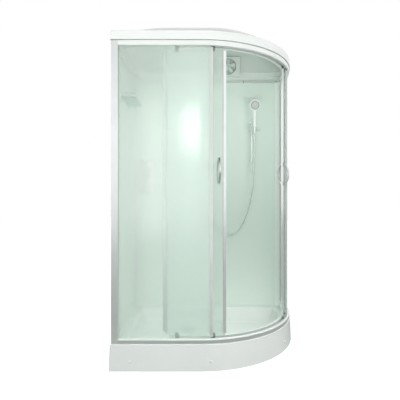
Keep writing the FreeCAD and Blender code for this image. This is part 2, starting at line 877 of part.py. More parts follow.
def make_brackets(lead, side):
    """Each bracket carries an axle in the track and is clamped through the door glass."""
    brackets = []
    for _, angle in roller_angles(lead, side):
        for name, clamp_z in clamp_heights():
            axle_z = top_axle_z if name == "top" else bottom_axle_z
            way = 1 if name == "top" else -1
            ends = sorted((axle_z + way * bracket_end, axle_z - way * bracket_reach))
            out = outward(angle)
            along = V(-out.y, out.x, 0)
            base = on_arc(bracket_in_r, angle, ends[0]) - along * (bracket_w / 2)
            plate = polygon([base, base + along * bracket_w, base + along * bracket_w + out * bracket_t,
                             base + out * bracket_t]).extrude(UP * (ends[1] - ends[0]))
            head_r = roller_in_r - running_gap
            pieces = [radial_rod(head_r, bracket_in_r, angle, axle_z, axle_r),
                      radial_rod(head_r - axle_head_t, head_r, angle, axle_z, axle_head_r),
                      radial_rod(bracket_out_r, door_r + seat_gap, angle, clamp_z, clamp_r),
                      radial_rod(door_r + seat_gap, door_r + seat_gap + clamp_knob_t, angle, clamp_z,
                                 clamp_knob_r)]
            brackets.append(fuse(plate, *pieces))
    return Part.makeCompound(brackets)


def make_roller(angle, axle_z):
    wheel = radial_rod(roller_in_r, roller_in_r + roller_w, angle, axle_z, roller_r)
    bore = radial_rod(roller_in_r - overrun, roller_in_r + overrun, angle, axle_z, axle_r + running_gap)
    return wheel.cut(bore)


# Roof and vent fan

def dome_wire(inset, share, z):
    """A scaled copy of the rounded footprint about the crown of the roof."""
    left, right = left_x + inset - dome_x, right_x - inset - dome_x
    front, back = front_y + inset - dome_y, back_y - inset - dome_y
    return rounded_plan(dome_x + left * share, dome_x + right * share, dome_y + front * share,
                        dome_y + back * share, (arc_r - inset) * share, dome_corner_r * share, z)


def dome_solid(inset, base_z, top_z):
    """A low dome whose height falls off with the square of the distance from the crown."""
    last = dome_shares[-1]
    rise = (top_z - base_z) / (1 - last * last)
    wires = [dome_wire(inset, s, base_z + rise * (1 - s * s)) for s in dome_shares]
    return Part.makeLoft(wires, True, False)


def make_roof():
    skirt = plan_slab(roof_inset, skirt_bottom_z + skirt_lip_h, skirt_top_z, corner=foot_corner_r)
    skirt = skirt.makeFillet(skirt_round, edges_at(skirt, skirt_top_z))
    lip = plan_slab(roof_inset - skirt_lip_step, skirt_bottom_z, skirt_bottom_z + skirt_lip_h,
                    corner=foot_corner_r)
    bearing = plan_slab(bearing_inset, top_rail_top_z, skirt_bottom_z, back=back_y - bearing_inset)
    dome = dome_solid(roof_inset + ledge_w, skirt_top_z, height)
    roof = fuse(skirt, lip, bearing, dome)
    roof = roof.cut(plan_slab(band_inset, top_rail_top_z, ceiling_z, back=back_y - band_inset))
    recess = Part.Face(rounded_plan(left_x + band_inset, right_x - band_inset, front_y + band_inset,
                                    back_y - band_inset, arc_r - band_inset, recess_corner_r, ceiling_z))
    roof = roof.cut(recess.extrude(UP * (skirt_top_z - roof_t - ceiling_z)))
    return roof.cut(dome_solid(roof_inset + ledge_w + roof_t, skirt_top_z - roof_t, height - roof_t))


def fan_frame():
    """Centre of the fan's face, the way it faces, and the way up along it."""
    t = math.radians(fan_tilt)
    up = V(0, -math.sin(t), math.cos(t))
    facing = V(0, -math.cos(t), -math.sin(t))
    centre = V(fan_x, fan_foot_y, ceiling_z - fan_foot_drop) + up * (fan_face_h / 2)
    return centre, facing, up


def make_fan_housing():
    centre, facing, up = fan_frame()
    bottom, top = centre - up * (fan_face_h / 2), centre + up * (fan_face_h / 2)
    heel_y = back_y - band_inset
    deep = fan_bore_depth + fan_back_t
    rear = centre - facing * deep
    side = [bottom, top, top - facing * deep * fan_top_share, rear, V(fan_x, heel_y, ceiling_z + fan_heel_h),
            V(fan_x, heel_y, ceiling_z)]
    shift = V(fan_w / 2, 0, 0)
    body = polygon([p - shift for p in side]).extrude(shift * 2)
    bezel = Part.makeCylinder(fan_bezel_r, fan_bezel_t, centre, facing)
    bore = Part.makeCylinder(fan_bore_r, fan_bore_depth + fan_bezel_t, centre + facing * fan_bezel_t, -facing)
    return fuse(body, bezel).cut(bore)


def make_fan_motor():
    centre, facing, _ = fan_frame()
    seat = centre - facing * fan_bore_depth
    can = Part.makeCylinder(fan_motor_r, fan_motor_t, seat, facing)
    shaft = Part.makeCylinder(fan_shaft_r, fan_motor_t + fan_hub_t, seat, facing)
    return fuse(can, shaft)


def make_fan_rotor():
    centre, facing, up = fan_frame()
    seat = centre - facing * (fan_bore_depth - fan_motor_t - fit_gap)
    hub = Part.makeCylinder(fan_hub_r, fan_hub_t, seat, facing)
    mid = seat + facing * (fan_hub_t / 2)
    across = V(1, 0, 0)
    blades = []
    for i in range(fan_blades):
        start = mid + up * (fan_hub_r / 2) - across * (fan_blade_chord / 2) - facing * (fan_blade_t / 2)
        length = fan_rotor_r - fan_hub_r / 2
        blade = polygon([start, start + across * fan_blade_chord, start + across * fan_blade_chord + up * length,
                         start + up * length]).extrude(facing * fan_blade_t)
        blade.rotate(mid, up, fan_blade_pitch)
        blade.rotate(mid, facing, 360 * i / fan_blades)
        blades.append(blade)
    rotor = fuse(hub, *blades).common(Part.makeCylinder(fan_rotor_r, fan_bore_depth, seat, facing))
    return rotor.cut(Part.makeCylinder(fan_shaft_r + running_gap, 2 * fan_hub_t, seat - facing * fan_hub_t / 2,
                                       facing))


# Shower set

def make_riser_rail():
    return rod((riser_x, riser_y, riser_bottom_z), (riser_x, riser_y, riser_top_z), riser_r)


def make_riser_brackets():
    brackets = []
    for z in bracket_zs:
        collar = rod((riser_x, riser_y, z - riser_bracket_h / 2), (riser_x, riser_y, z + riser_bracket_h / 2),
                     riser_bracket_r)
        arm = rod((riser_x, riser_y, z), (riser_x, wall_back_y, z), riser_bracket_h / 2)
        foot = rod((riser_x, wall_back_y - riser_foot_t, z), (riser_x, wall_back_y, z), riser_foot_r)
        hole = rod((riser_x, riser_y, z - overrun), (riser_x, riser_y, z + overrun), riser_r + running_gap)
        brackets.append(fuse(collar, arm, foot).cut(hole))
    return Part.makeCompound(brackets)


def make_slider():
    """A sleeve on the rail, with two ears in front that carry the pivot pin of the holder."""
    z0, z1 = slider_z - slider_h / 2, slider_z + slider_h / 2
    pieces = []
    for side in (-1, 1):
        near = hand_x + side * ear_gap / 2
        x0, x1 = sorted((near, near + side * ear_t))
        pieces.append(box(x0, x1, pivot_y - ear_h / 2, riser_y, slider_z - ear_h / 2, slider_z + ear_h / 2))
        pieces.append(rod((near + side * ear_t, pivot_y, slider_z),
                          (near + side * (ear_t + knob_w), pivot_y, slider_z), knob_r))
    reach = ear_gap / 2 + ear_t
    pieces.append(rod((hand_x - reach, pivot_y, slider_z), (hand_x + reach, pivot_y, slider_z), pivot_r))
    pieces.append(box(hand_x - reach, hand_x + reach, riser_y - slider_r / 2, riser_y,
                      slider_z - ear_h / 2, slider_z + ear_h / 2))
    sleeve = fuse(rod((riser_x, riser_y, z0), (riser_x, riser_y, z1), slider_r), *pieces)
    return sleeve.cut(rod((riser_x, riser_y, z0 - overrun), (riser_x, riser_y, z1 + overrun),
                          riser_r + running_gap))


def make_holder():
    """The cup that takes the hose's conical nut, tilting on the slider's pin."""
    half = ear_gap / 2 - fit_gap
    z0, z1 = slider_z - cup_h / 2, slider_z + cup_h / 2
    cup = rod((hand_x, hand_y, z0), (hand_x, hand_y, z1), cup_r)
    barrel = rod((hand_x - half, pivot_y, slider_z), (hand_x + half, pivot_y, slider_z), pivot_barrel_r)
    web = box(hand_x - half, hand_x + half, hand_y, pivot_y, slider_z - pivot_barrel_r / 2,
              slider_z + pivot_barrel_r / 2)
    holder = fuse(cup, barrel, web)
    holder = holder.cut(rod((hand_x, hand_y, z0 - overrun), (hand_x, hand_y, z1 + overrun), nut_r + fit_gap))
    return holder.cut(rod((hand_x - ear_gap, pivot_y, slider_z), (hand_x + ear_gap, pivot_y, slider_z),
                          pivot_r + running_gap))


def make_hose_nut():
    top = slider_z + cup_h / 2
    low = slider_z - cup_h / 2 - nut_drop
    return fuse(rod((hand_x, hand_y, low), (hand_x, hand_y, top), nut_r),
                rod((hand_x, hand_y, top), (hand_x, hand_y, top + nut_flange_t), nut_top_r))


def head_frame():
    """Centre of the head's front face and the way it sprays."""
    t = math.radians(head_tilt)
    way = V(0, -math.cos(t), -math.sin(t))
    return V(hand_x, hand_y - head_forward, head_z) + way * (head_t / 2), way


def make_hand_shower():
    bottom = slider_z + cup_h / 2 + nut_flange_t
    grip = Part.makeCone(grip_r, grip_top_r, grip_top_z - bottom, V(hand_x, hand_y, bottom))
    face, way = head_frame()
    head = Part.makeCylinder(head_r, head_t, face - way * head_t, way)
    head = head.makeFillet(head_round, [e for e in head.Edges if e.Closed])
    joint = V(hand_x, hand_y, grip_top_z)
    reach = face - way * (head_t - neck_r) - joint
    neck = Part.makeCone(grip_top_r, neck_r, reach.Length, joint, reach)
    return fuse(grip, Part.makeSphere(grip_top_r, joint), neck, head)


def make_spray_face():
    face, way = head_frame()
    disc = Part.makeCylinder(spray_r, spray_t, face, way)
    return disc.makeFillet(spray_t / 2, [e for e in disc.Edges if e.Closed
                                         and (e.CenterOfMass - face).dot(way) > spray_t / 2])


def tube_along(points, r):
    """A round tube of straight runs joined by tangent arcs, each as large as its runs allow."""
    points = [V(*p) for p in points]
    edges, last, length, radii = [], points[0], 0.0, []
    for a, b, c in zip(points, points[1:], points[2:]):
        before, after = (b - a), (c - b)
        turn = before.getAngle(after)
        reach = hose_run_share * min(before.Length, after.Length)
        into, out = before.normalize(), after.normalize()
        radius = reach / math.tan(turn / 2)
        radii.append(radius)
        start, end = b - into * reach, b + out * reach
        inner = (out - into).normalize()
        mid = b + inner * (radius / math.cos(turn / 2) - radius)
        edges.append(Part.LineSegment(last, start).toShape())
        edges.append(arc(start, mid, end))
        length += (start - last).Length + radius * turn
        last = end
    edges.append(Part.LineSegment(last, points[-1]).toShape())
    length += (points[-1] - last).Length
    section = Part.Wire(Part.makeCircle(r, points[0], points[1] - points[0]))
    tube = Part.Wire(edges).makePipeShell([section], True, False)
    print("hose radii", [round(v) for v in radii])
    print("hose length", round(length, 1), "volume ratio", tube.Volume / (math.pi * r * r * length))
    return tube


def make_hose():
    return tube_along(hose_points, hose_r)


def make_hose_tail():
    return rod(hose_points[0], (hand_x, hand_y, slider_z - cup_h / 2 - nut_drop), hose_r)


def make_elbow():
    """Water outlet on the wall, fed by a pipe behind the wall from the mixer."""
    behind = wall_back_y + wall_t + pipe_r + fit_gap
    centre = (elbow_x, elbow_y, elbow_z)
    pieces = [rod(centre, (elbow_x, behind, elbow_z), elbow_r),
              Part.makeSphere(elbow_r, V(*centre)),
              rod(centre, (elbow_x, elbow_y, elbow_z - elbow_drop), elbow_nipple_r),
              rod((elbow_x, behind, elbow_z), (inlet_xs()[1] + inlet_spacing, behind, elbow_z), pipe_r)]
    flange = rod((elbow_x, wall_back_y - elbow_flange_t, elbow_z), (elbow_x, wall_back_y, elbow_z), elbow_flange_r)
    return fuse(flange, *pieces)


def make_mixer_plate():
    z0, z1 = diverter_z - mixer_plate_margin, lever_z + mixer_plate_margin
    y0 = wall_back_y - mixer_plate_t
    plate = box(mixer_x - mixer_plate_w / 2, mixer_x + mixer_plate_w / 2, y0, wall_back_y, z0, z1)
    upright = [e for e in plate.Edges if abs(e.Vertexes[0].Y - e.Vertexes[-1].Y) > mixer_plate_t / 2]
    plate = plate.makeFillet(mixer_plate_r, upright)
    pieces = []
    for z in (lever_z, diverter_z):
        pieces.append(rod((mixer_x, y0 - mixer_boss_t, z), (mixer_x, y0, z), mixer_boss_r))
        pieces.append(rod((mixer_x, y0 - mixer_boss_t - spindle_l, z), (mixer_x, y0, z), spindle_r))
    for x in inlet_xs():
        z = lever_z - inlet_z_drop
        pieces.append(rod((x, wall_back_y, z), (x, inlet_thread_y(), z), inlet_neck_r))
        pieces.append(rod((x, inlet_thread_y(), z), (x, back_y - inlet_end_inset, z), inlet_r))
    return fuse(plate, *pieces)


def control_seat():
    return wall_back_y - mixer_plate_t - mixer_boss_t - seat_gap


def spindle_bore(z):
    y = control_seat()
    return rod((mixer_x, y - spindle_l, z), (mixer_x, y + overrun, z), spindle_r + running_gap)


def make_mixer_lever():
    y = control_seat()
    hub = rod((mixer_x, y - lever_hub_t, lever_z), (mixer_x, y, lever_z), lever_hub_r)
    hub = hub.makeFillet(lever_t / 2, [e for e in hub.Edges if e.Closed and e.CenterOfMass.y < y - lever_t])
    arm = box(mixer_x - lever_w / 2, mixer_x + lever_w / 2, y - lever_hub_t, y - lever_hub_t + lever_t,
              lever_z - lever_l, lever_z)
    upright = [e for e in arm.Edges if abs(e.Vertexes[0].Z - e.Vertexes[-1].Z) > lever_t]
    arm = arm.makeFillet(lever_round_share * lever_t, upright)
    return fuse(hub, arm).cut(spindle_bore(lever_z))


def make_diverter_knob():
    y = control_seat()
    hub = rod((mixer_x, y - knob_hub_t, diverter_z), (mixer_x, y, diverter_z), knob_hub_r)
    fin = box(mixer_x - knob_fin_w / 2, mixer_x + knob_fin_w / 2, y - knob_hub_t - knob_fin_t, y - knob_hub_t,
              diverter_z - knob_hub_r, diverter_z + knob_hub_r)
    return fuse(hub, fin).cut(spindle_bore(diverter_z))


def make_shelf_glass():
    y1 = shelf_front_y + shelf_l
    glass = box(wall_left_x + shelf_plate_t, wall_left_x + shelf_w, shelf_front_y, y1, shelf_z,
                shelf_z + shelf_t)
    corners = [e for e in glass.Edges if abs(e.Vertexes[0].Z - e.Vertexes[-1].Z) > shelf_t / 2
               and e.Vertexes[0].X > wall_left_x + shelf_w / 2]
    return glass.makeFillet(shelf_corner_r, corners)


def make_shelf_rail():
    """A guard rod round the shelf, whose two wall plates also carry the glass on lugs."""
    inset = shelf_rod_inset
    z = shelf_z + shelf_t + shelf_rod_h
    ya, yb = shelf_front_y + inset, shelf_front_y + shelf_l - inset
    wall, out = wall_left_x, wall_left_x + shelf_w - inset
    turn = shelf_corner_r - shelf_rod_r
    parts = [rod((wall, ya, z), (out - turn, ya, z), shelf_rod_r),
             rod((wall, yb, z), (out - turn, yb, z), shelf_rod_r),
             rod((out, ya + turn, z), (out, yb - turn, z), shelf_rod_r)]
    for y, centre_y, start in ((ya, ya + turn, V(0, -1, 0)), (yb, yb - turn, V(0, 1, 0))):
        centre = V(out - turn, centre_y, z)
        circle = Part.Face(Part.Wire(Part.makeCircle(shelf_rod_r, centre + start * turn, V(1, 0, 0))))
        parts.append(circle.revolve(centre, V(0, 0, -1 * start.y), 90))
        low = z - shelf_plate_h
        parts.append(box(wall, wall + shelf_plate_t, y - shelf_plate_w / 2, y + shelf_plate_w / 2,
                         low, z + shelf_rod_r))
        parts.append(box(wall, wall + shelf_lug_l, y - shelf_plate_w / 2, y + shelf_plate_w / 2,
                         shelf_z - shelf_lug_t, shelf_z))
        leg_x = out - turn - shelf_rod_r
        parts.append(rod((leg_x, y, shelf_z + shelf_t), (leg_x, y, z), shelf_leg_r))
    return parts


def export(name, shape):
    shape.exportStep(os.path.join("parts", name + ".step"))


def main():
    os.makedirs("parts", exist_ok=True)
    pieces = {"tray": make_tray(), "apron": make_apron(), "apron_screw_caps": make_screw_caps(),
              "under_frame": make_under_frame(), "drain_trap": make_drain_trap(),
              "drain_cover": make_drain_cover(), "back_wall": make_back_wall(), "left_wall": make_left_wall(),
              "corner_post": make_corner_post(), "left_post": make_left_post(),
              "right_post": make_right_post(), "wall_top_channels": make_top_channels(),
              "panel_screws": make_panel_screws(), "top_rail": make_top_rail(),
              "bottom_rail": make_bottom_rail(), "left_fixed_glass": make_fixed_glass(-1),
              "right_fixed_glass": make_fixed_glass(1), "fixed_glass_strips": make_fixed_strips(),
              "roof_shell": make_roof(), "fan_housing": make_fan_housing(), "fan_motor": make_fan_motor(),
              "fan_rotor": make_fan_rotor(), "riser_rail": make_riser_rail(),
              "riser_brackets": make_riser_brackets(), "shower_slider": make_slider(),
              "shower_holder": make_holder(), "hose_nut": make_hose_nut(), "hand_shower": make_hand_shower(),
              "spray_face": make_spray_face(), "hose": make_hose(), "hose_tail": make_hose_tail(),
              "wall_elbow": make_elbow(), "mixer_plate": make_mixer_plate(), "mixer_lever": make_mixer_lever(),
              "diverter_knob": make_diverter_knob(), "shelf_glass": make_shelf_glass(),
              "shelf_rail": fuse(*make_shelf_rail())}
    pieces["foot_studs"], pieces["foot_nuts"], pieces["foot_pads"] = make_feet()
    for name, lead, side in (("left", left_lead, 1), ("right", right_lead, -1)):
        pieces[name + "_door_glass"] = make_door_glass(lead, side)
        pieces[name + "_magnet_strip"] = make_magnet_strip(lead, side)
        pieces[name + "_seal_strip"] = make_seal_strip(lead, side)
        pieces[name + "_outer_handle"] = make_outer_handle(lead, side)
        pieces[name + "_inner_handle"] = make_inner_handle(lead, side)
        pieces[name + "_roller_brackets"] = make_brackets(lead, side)
        for end, angle in roller_angles(lead, side):
            for level, axle_z in (("top", top_axle_z), ("bottom", bottom_axle_z)):
                pieces["_".join((name, level, end, "roller"))] = make_roller(angle, axle_z)
    for name, shape in pieces.items():
        print(name, len(shape.Solids), "valid" if shape.isValid() else "INVALID", round(shape.Volume))
        export(name, shape)


main()
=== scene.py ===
import json
import math

import bmesh
import bpy
from mathutils import Matrix, Vector


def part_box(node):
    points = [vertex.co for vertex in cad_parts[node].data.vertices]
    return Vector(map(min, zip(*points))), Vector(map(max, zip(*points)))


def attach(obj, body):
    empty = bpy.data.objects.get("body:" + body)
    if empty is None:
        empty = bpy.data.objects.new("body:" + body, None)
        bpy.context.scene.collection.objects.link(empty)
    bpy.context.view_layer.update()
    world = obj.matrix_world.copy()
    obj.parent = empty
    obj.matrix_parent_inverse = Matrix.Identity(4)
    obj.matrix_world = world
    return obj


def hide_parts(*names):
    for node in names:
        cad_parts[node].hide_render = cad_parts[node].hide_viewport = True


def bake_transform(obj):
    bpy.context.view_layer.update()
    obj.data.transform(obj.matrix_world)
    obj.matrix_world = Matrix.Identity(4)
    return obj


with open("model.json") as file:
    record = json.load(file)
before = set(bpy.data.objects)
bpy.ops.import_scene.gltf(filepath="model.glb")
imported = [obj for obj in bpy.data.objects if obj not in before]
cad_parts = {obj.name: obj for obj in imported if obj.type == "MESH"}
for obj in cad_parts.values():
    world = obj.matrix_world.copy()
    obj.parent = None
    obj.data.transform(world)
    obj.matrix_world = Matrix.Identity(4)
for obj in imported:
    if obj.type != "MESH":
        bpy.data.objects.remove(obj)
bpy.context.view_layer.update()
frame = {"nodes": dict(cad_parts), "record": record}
NODES = frame["nodes"]
WHITE = (1.0, 1.0, 1.0, 1.0)


def srgb(r, g, b):
    """A colour as it should look on screen, turned into Blender's linear values."""
    def linear(v):
        v /= 255.0
        return v / 12.92 if v <= 0.04045 else ((v + 0.055) / 1.055) ** 2.4
    return (linear(r), linear(g), linear(b), 1.0)


def add_object(name, data):
    """A new object in the scene that shows the data."""
    thing = bpy.data.objects.new(name, data)
    bpy.context.scene.collection.objects.link(thing)
    return thing


# Camera at the photograph's viewing angle: level, straight on, with a little shift

CAMERA_PLACE = (-0.068, -2.594, 1.030)
CAMERA_LENS = 34.0
CAMERA_SENSOR = 36.0
CAMERA_SHIFT_Y = -0.014


def make_camera():
    data = bpy.data.cameras.new("camera")
    data.lens = CAMERA_LENS
    data.sensor_width = CAMERA_SENSOR
    data.shift_y = CAMERA_SHIFT_Y
    camera = add_object("camera", data)
    camera.location = CAMERA_PLACE
    camera.rotation_euler = (math.radians(90), 0, 0)
    bpy.context.scene.camera = camera


# The hose, a smooth line through the part's own route, in metres from the hand shower to the wall

HOSE_POINTS = (
    (0.346, 0.276, 1.436), (0.346, 0.276, 1.342), (0.343, 0.281, 1.234), (0.337, 0.286, 1.130),
    (0.327, 0.292, 1.035), (0.311, 0.299, 0.950), (0.288, 0.306, 0.870), (0.257, 0.313, 0.795),
    (0.213, 0.320, 0.738), (0.150, 0.327, 0.706), (0.086, 0.333, 0.728), (0.045, 0.338, 0.790),
    (0.026, 0.342, 0.880), (0.016, 0.345, 0.990), (0.010, 0.348, 1.100), (0.010, 0.348, 1.200))
HOSE_D = 0.012
HOSE_RIDGE_SCALE = 80.0
CURVE_ORDER = 3
CURVE_STEPS = 12
BEVEL_STEPS = 6


def tube_mesh(name, points, diameter):
    """A mesh tube round the smooth line through the points, and that line's own points."""
    curve = bpy.data.curves.new(name, "CURVE")
    curve.dimensions = "3D"
    curve.resolution_u = CURVE_STEPS
    curve.use_fill_caps = True
    spline = curve.splines.new("NURBS")
    spline.points.add(len(points) - 1)
    for point, place in zip(spline.points, points):
        point.co = (*place, 1.0)
    spline.order_u = CURVE_ORDER
    spline.use_endpoint_u = True
    holder = bpy.data.objects.new(name + "_line", curve)
    line = bpy.data.meshes.new_from_object(holder)
    path = [tuple(v.co) for v in line.vertices]
    curve.bevel_depth = diameter / 2
    curve.bevel_resolution = BEVEL_STEPS
    mesh = bpy.data.meshes.new_from_object(holder)
    bpy.data.objects.remove(holder)
    bpy.data.meshes.remove(line)
    mesh.shade_smooth()
    return add_object(name, mesh), path


def make_hose():
    """The long hose along its route, and its short straight end, in place of the part's hose and hose tail.
    """
    hose, path = tube_mesh("hose_tube", HOSE_POINTS, HOSE_D)
    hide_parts("hose")
    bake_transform(hose)
    low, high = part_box("hose_tail")
    x, y = HOSE_POINTS[0][:2]
    middle = (low[2] + high[2]) / 2
    end, _ = tube_mesh("hose_end", ((x, y, low[2]), (x, y, middle), (x, y, high[2])), HOSE_D)
    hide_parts("hose_tail")
    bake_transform(end)
    for piece in (hose, end):
        piece.data.materials.append(MATERIALS["hose_pvc"])


# A rail trim, a painted highlight strip, nozzles and cap domes on the part's solids, in metres
# A rail strip's section is in pairs of inset and height, a cap's profile in pairs of radius and height

PLAN_LEFT = -0.5479
PLAN_FRONT = -0.4
PLAN_RIGHT = 0.6
PLAN_BACK = 0.366
ARC_CENTRE = (-0.065, 0.265)
ARC_R = 0.665
ARC_STEPS = 64
# The lower strip is painted highlight: white on the alloy rail's top edge, for the light that edge catches.
LOWER_HIGHLIGHT_STRIP = ((0.0110, 0.1770), (0.0110, 0.1828), (0.0117, 0.1835), (0.0236, 0.1835), (0.0236, 0.1820),
              (0.0120, 0.1820), (0.0120, 0.1770))
UPPER_TRIM = ((0.0120, 1.9060), (0.0236, 1.9060), (0.0236, 1.9048), (0.0126, 1.9048), (0.0120, 1.9053))
SPRAY_CENTRE = (0.346, 0.24395, 1.70013)
SPRAY_NORMAL = (0.0, -0.92718, -0.37461)
SPRAY_RIM_R = 0.0295
SPRAY_RIM_SECTION = 0.0019
SPRAY_RIM_SIDES = 8
NOZZLE_ROWS = ((0.008, 6), (0.0155, 12), (0.0225, 18))
NOZZLE_R = 0.0013
NOZZLE_SEGMENTS = 8
NOZZLE_RINGS = 6
CAP_PLACES = (((-0.4750, -0.39808, 0.057), (0.0, -0.9994, 0.0342)),
              ((-0.00375, -0.39525, 0.057), (0.0923, -0.9951, 0.0342)),
              ((0.49111, -0.09614, 0.057), (0.8382, -0.5443, 0.0342)))
CAP_PROFILE = ((0.0092, -0.0005), (0.0092, 0.0020), (0.0086, 0.0044), (0.0066, 0.0066), (0.0036, 0.0079),
               (0.0, 0.0083))
RING_STEPS = 40
WELD_DISTANCE = 1e-6


def front_line(inset):
    """Points in plan along the front, the arc and the right side, that far inside the outline."""
    points = [(PLAN_LEFT, PLAN_FRONT + inset)]
    for i in range(ARC_STEPS + 1):
        angle = math.radians(-90 + 90 * i / ARC_STEPS)
        points.append((ARC_CENTRE[0] + (ARC_R - inset) * math.cos(angle),
                       ARC_CENTRE[1] + (ARC_R - inset) * math.sin(angle)))
    points.append((PLAN_RIGHT - inset, PLAN_BACK))
    return points


def piece_of(bm, name, body, material):
    """The bmesh as a piece of the scene that rides on a body."""
    bmesh.ops.recalc_face_normals(bm, faces=bm.faces)
    mesh = bpy.data.meshes.new(name)
    bm.to_mesh(mesh)
    bm.free()
    mesh.materials.append(material)
    piece = add_object(name, mesh)
    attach(piece, body)
    return piece


def add_loft(bm, lines, closed_section):
    """Faces between neighbouring lines of points, and back to the first where the section is closed."""
    rows = [[bm.verts.new(point) for point in line] for line in lines]
    pairs = list(zip(rows, rows[1:]))
    if closed_section:
        pairs.append((rows[-1], rows[0]))
    for here, there in pairs:
        for i in range(len(here) - 1):
            bm.faces.new((here[i], here[i + 1], there[i + 1], there[i]))
    return rows


def make_rail_trim_and_highlight():
    """A white strip on the lower rail's top edge, painted highlight for the light that the alloy edge
    catches, and the strip that closes the upper rail's outer groove.
    """
    for name, section in (("lower_rail_highlight_strip", LOWER_HIGHLIGHT_STRIP), ("upper_rail_trim", UPPER_TRIM)):
        bm = bmesh.new()
        rows = add_loft(bm, [[(x, y, z) for x, y in front_line(inset)] for inset, z in section], True)
        bm.faces.new([row[0] for row in rows])
        bm.faces.new([row[-1] for row in rows])
        piece_of(bm, name, "cabin", WHITE_GLOSS)


def facing_frame(place, normal):
    """A matrix at place whose Z runs along the normal."""
    return Matrix.Translation(place) @ Vector(normal).to_track_quat("Z", "Y").to_matrix().to_4x4()


def ring_points(radius, height):
    """Points round Z that end where they began."""
    turns = [2 * math.pi * i / RING_STEPS for i in range(RING_STEPS + 1)]
    return [(radius * math.cos(a), radius * math.sin(a), height) for a in turns]


def make_spray_nozzles():
    """The dark rim of the spray face and its rows of nozzles."""
    bm = bmesh.new()
    turns = [2 * math.pi * i / SPRAY_RIM_SIDES for i in range(SPRAY_RIM_SIDES)]
    add_loft(bm, [ring_points(SPRAY_RIM_R + SPRAY_RIM_SECTION * math.cos(a), SPRAY_RIM_SECTION * math.sin(a))
                  for a in turns], True)
    for radius, count in NOZZLE_ROWS:
        for i in range(count):
            angle = 2 * math.pi * i / count
            place = Matrix.Translation((radius * math.cos(angle), radius * math.sin(angle), 0.0))
            bmesh.ops.create_uvsphere(bm, u_segments=NOZZLE_SEGMENTS, v_segments=NOZZLE_RINGS,
                                      radius=NOZZLE_R, matrix=place)
    bmesh.ops.remove_doubles(bm, verts=bm.verts, dist=WELD_DISTANCE)
    bmesh.ops.transform(bm, matrix=facing_frame(SPRAY_CENTRE, SPRAY_NORMAL), verts=bm.verts)
    piece_of(bm, "spray_nozzles", "hand_shower", SPRAY_GREY).data.shade_smooth()


def make_cap_domes():
    """Domed screw caps on the apron."""
    bm = bmesh.new()
    for place, normal in CAP_PLACES:
        rows = add_loft(bm, [ring_points(radius, height) for radius, height in CAP_PROFILE], False)
        spots = [vert for row in rows for vert in row]
        bmesh.ops.transform(bm, matrix=facing_frame(place, normal), verts=spots)
    bmesh.ops.remove_doubles(bm, verts=bm.verts, dist=WELD_DISTANCE)
    caps = piece_of(bm, "cap_domes", "cabin", MATERIALS["acrylic_white"])
    caps.data.shade_smooth()
    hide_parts("apron_screw_caps")


# Shader nodes that the world and the materials share

def set_inputs(node, values):
    """Sets a node's inputs by name."""
    for name, value in values.items():
        node.inputs[name].default_value = value


def math_node(tree, operation, first, second):
    """A maths node on two sockets or numbers."""
    node = tree.nodes.new("ShaderNodeMath")
    node.operation = operation
    for socket, value in zip(node.inputs, (first, second)):
        if isinstance(value, (int, float)):
            socket.default_value = value
        else:
            tree.links.new(value, socket)
    return node.outputs[0]


def map_range(tree, value, span, result):
    """A value that goes from the result's first to its last as the socket goes through the span."""
    node = tree.nodes.new("ShaderNodeMapRange")
    set_inputs(node, {"From Min": span[0], "From Max": span[1], "To Min": result[0], "To Max": result[1]})
    tree.links.new(value, node.inputs["Value"])
    return node.outputs["Result"]


def split_axes(tree, coordinate):
    """The X, Y and Z of a texture coordinate."""
    where = tree.nodes.new("ShaderNodeTexCoord")
    axes = tree.nodes.new("ShaderNodeSeparateXYZ")
    tree.links.new(where.outputs[coordinate], axes.inputs["Vector"])
    return axes.outputs


# Light, world and floor
# A lamp has its name, place, aim, size, watts, spread in degrees, and whether glass and metal show it

WORLD_LIGHT = 1.15
WORLD_TOP_LIGHT = 0.75
HORIZON_TO_TOP = (0.0, 1.0)
DARK_SPAN = (0.5, 0.85)
DARK_TOP = 0.12
BOUNCED_DEPTH = 0.5
FLOOR_HALF = 12.0
FLOOR_COLOUR = (0.42, 0.45, 0.43, 1.0)
FLOOR_ROUGHNESS = 0.9
FLOOR_SPECULAR = 0.1
FLOOR_GLOW = 0.75
LAMPS = (
    ("softbox", (-0.17, -2.0, 1.67), (-0.12, -0.37, 1.35), (0.05, 0.40), 0.95, 180.0, True),
    ("side_panel", (-0.56, -2.0, 1.28), (-0.35, -0.37, 1.17), (0.22, 1.36), 1.6, 180.0, True),
    ("low_fill_right", (0.65, -2.5, 0.4), (-0.15, 0.35, 1.83), (2.2, 1.1), 2.2, 36.0, False),
    ("low_fill_left", (-0.75, -2.5, 0.4), (0.05, 0.35, 1.83), (2.2, 1.1), 2.2, 36.0, False),
    ("high_key", (-0.05, -1.7, 2.5), (-0.05, 0.05, 0.0), (1.3, 0.4), 1.35, 27.0, False),
)


